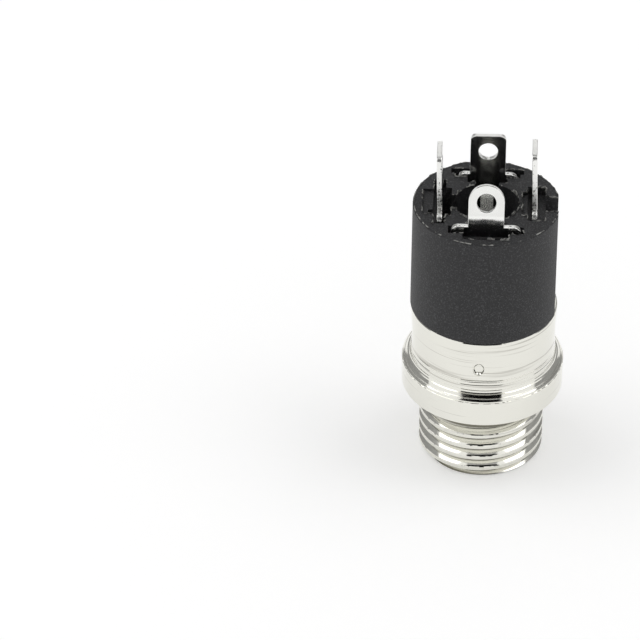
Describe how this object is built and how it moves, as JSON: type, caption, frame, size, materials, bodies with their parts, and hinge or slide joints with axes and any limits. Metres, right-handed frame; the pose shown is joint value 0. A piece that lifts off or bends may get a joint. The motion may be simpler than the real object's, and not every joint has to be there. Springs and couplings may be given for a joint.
{
  "type": "audio jack socket",
  "caption": "Round panel-mounting audio jack socket: threaded metal nose and flange, black moulded body, solder lugs at the rear.",
  "frame": {"origin": "centre of the ring face at the front of the threaded nose, which the socket stands on", "axes": "+Z along the plug's axis, from the mouth to the solder lugs; +X towards the flat on the black body"},
  "size_m": [0.009, 0.009, 0.0201],
  "materials": {
    "nickel_plate": "nickel-plated, turned",
    "black_moulding": "fine grain",
    "plated_strip": "plated strip"
  },
  "bodies": {
    "root": {"shell": "nickel_plate", "front_liner": "black_moulding", "insulator_body": "black_moulding", "sleeve_contact": "plated_strip", "second_ring_contact": "plated_strip", "ring_contact": "plated_strip", "tip_contact": "plated_strip"}
  },
  "joints": []
}
